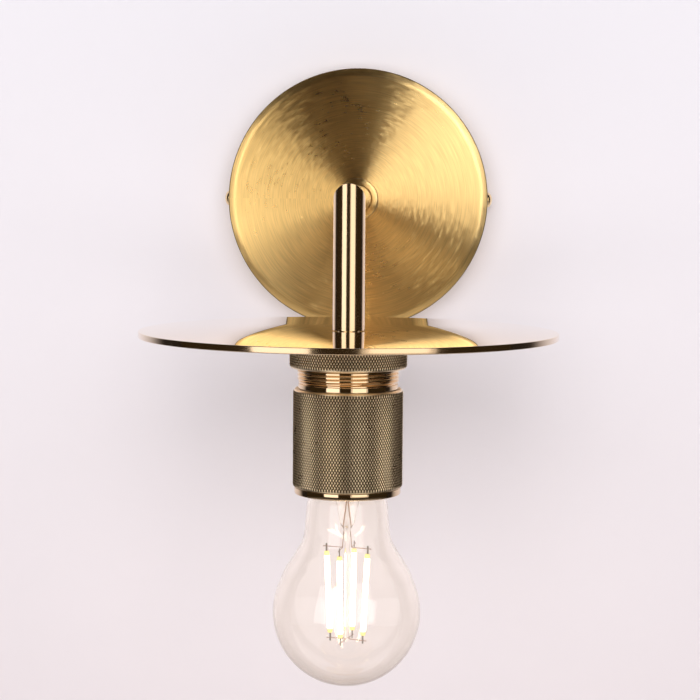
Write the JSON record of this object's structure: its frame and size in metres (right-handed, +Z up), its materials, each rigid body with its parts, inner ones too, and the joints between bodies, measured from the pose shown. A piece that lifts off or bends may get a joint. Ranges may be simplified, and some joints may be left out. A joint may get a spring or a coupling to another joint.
{
  "type": "wall light with disc shade",
  "caption": "Brass wall light: round canopy, angled tube arm, flat disc shade, knurled lamp holder with a loosening shade ring, and a screw-in filament bulb.",
  "frame": {"origin": "centre of the wall bracket's back face, on the wall plane", "axes": "+Z up, the light stands out of the wall along -Y, +X to the viewer's right when facing the wall"},
  "size_m": [0.17, 0.246, 0.2616],
  "materials": {
    "brushed_brass": "brushed in circles, lacquered",
    "polished_brass": "polished, lacquered",
    "aged_brass": "knurled, light antique tone",
    "raw_brass": "turned",
    "zinc_steel": "zinc plated",
    "nickel": "nickel plated",
    "nylon": "moulded",
    "porcelain": "glazed",
    "black_glass": "gloss",
    "clear_glass": "clear",
    "phosphor": "glowing when lit",
    "circuit_board": "lacquered board",
    "live_brown": "extruded insulation",
    "neutral_blue": "extruded insulation",
    "earth_green": "extruded insulation"
  },
  "bodies": {
    "fixture": {"wall_bracket": "zinc_steel", "earth_ring_terminal": "nickel", "earth_washer": "zinc_steel", "earth_screw": "zinc_steel", "terminal_block": "nylon", "pole_screw_1": "zinc_steel", "pole_screw_2": "zinc_steel", "pole_screw_3": "zinc_steel", "block_fixing_screw": "zinc_steel", "canopy": "brushed_brass", "canopy_screw_left": "raw_brass", "canopy_screw_right": "raw_brass", "arm_tube_horizontal": "polished_brass", "arm_tube_vertical": "polished_brass", "arm_collar": "brushed_brass", "root_nipple": "raw_brass", "root_lock_washer": "zinc_steel", "root_nut": "raw_brass", "disc": "polished_brass", "lower_nipple": "raw_brass", "holder_cap": "polished_brass", "holder_lock_washer": "zinc_steel", "holder_nut": "raw_brass", "holder_sleeve": "aged_brass", "lip_ring": "polished_brass", "ceramic_insert": "porcelain", "screw_shell": "raw_brass", "centre_contact": "nickel", "contact_rivet": "nickel", "live_terminal": "raw_brass", "live_terminal_screw": "nickel", "neutral_terminal": "raw_brass", "neutral_terminal_screw": "nickel", "live_wire": "live_brown", "neutral_wire": "neutral_blue", "earth_wire": "earth_green"},
    "ring_carriage": {"ring_washer": "raw_brass"},
    "ring": {"knurled_ring": "aged_brass"},
    "bulb_carriage": {"bulb_contact": "nickel"},
    "bulb": {"bulb_insulator": "black_glass", "bulb_cap_shell": "nickel", "driver_board": "circuit_board", "driver_capacitor": "black_glass", "bulb_glass": "clear_glass", "bulb_stem": "clear_glass", "filament_1": "phosphor", "lead_wire_1": "nickel", "foot_wire_1": "nickel", "filament_2": "phosphor", "lead_wire_2": "nickel", "foot_wire_2": "nickel", "filament_3": "phosphor", "lead_wire_3": "nickel", "foot_wire_3": "nickel", "filament_4": "phosphor", "lead_wire_4": "nickel", "foot_wire_4": "nickel"}
  },
  "joints": [
    {"name": "ring_travel", "type": "slide", "parent": "fixture", "child": "ring_carriage", "axis": [0, 0, -1], "range_m": [0, 0.00601]},
    {"name": "ring_turn", "type": "hinge", "parent": "ring_carriage", "child": "ring", "pos_m": [0, -0.161, -0.062], "axis": [0, 0, -1], "range_deg": [0, 1440]},
    {"name": "bulb_travel", "type": "slide", "parent": "fixture", "child": "bulb_carriage", "axis": [0, 0, -1], "range_m": [0, 0.02]},
    {"name": "bulb_turn", "type": "hinge", "parent": "bulb_carriage", "child": "bulb", "pos_m": [0, -0.161, -0.15], "axis": [0, 0, -1], "range_deg": [0, 1980]}
  ],
  "couplings": [
    {"joint": "ring_travel", "follows": "ring_turn", "m_per_rad": 0.00023873},
    {"joint": "bulb_travel", "follows": "bulb_turn", "m_per_rad": 0.00057751}
  ]
}
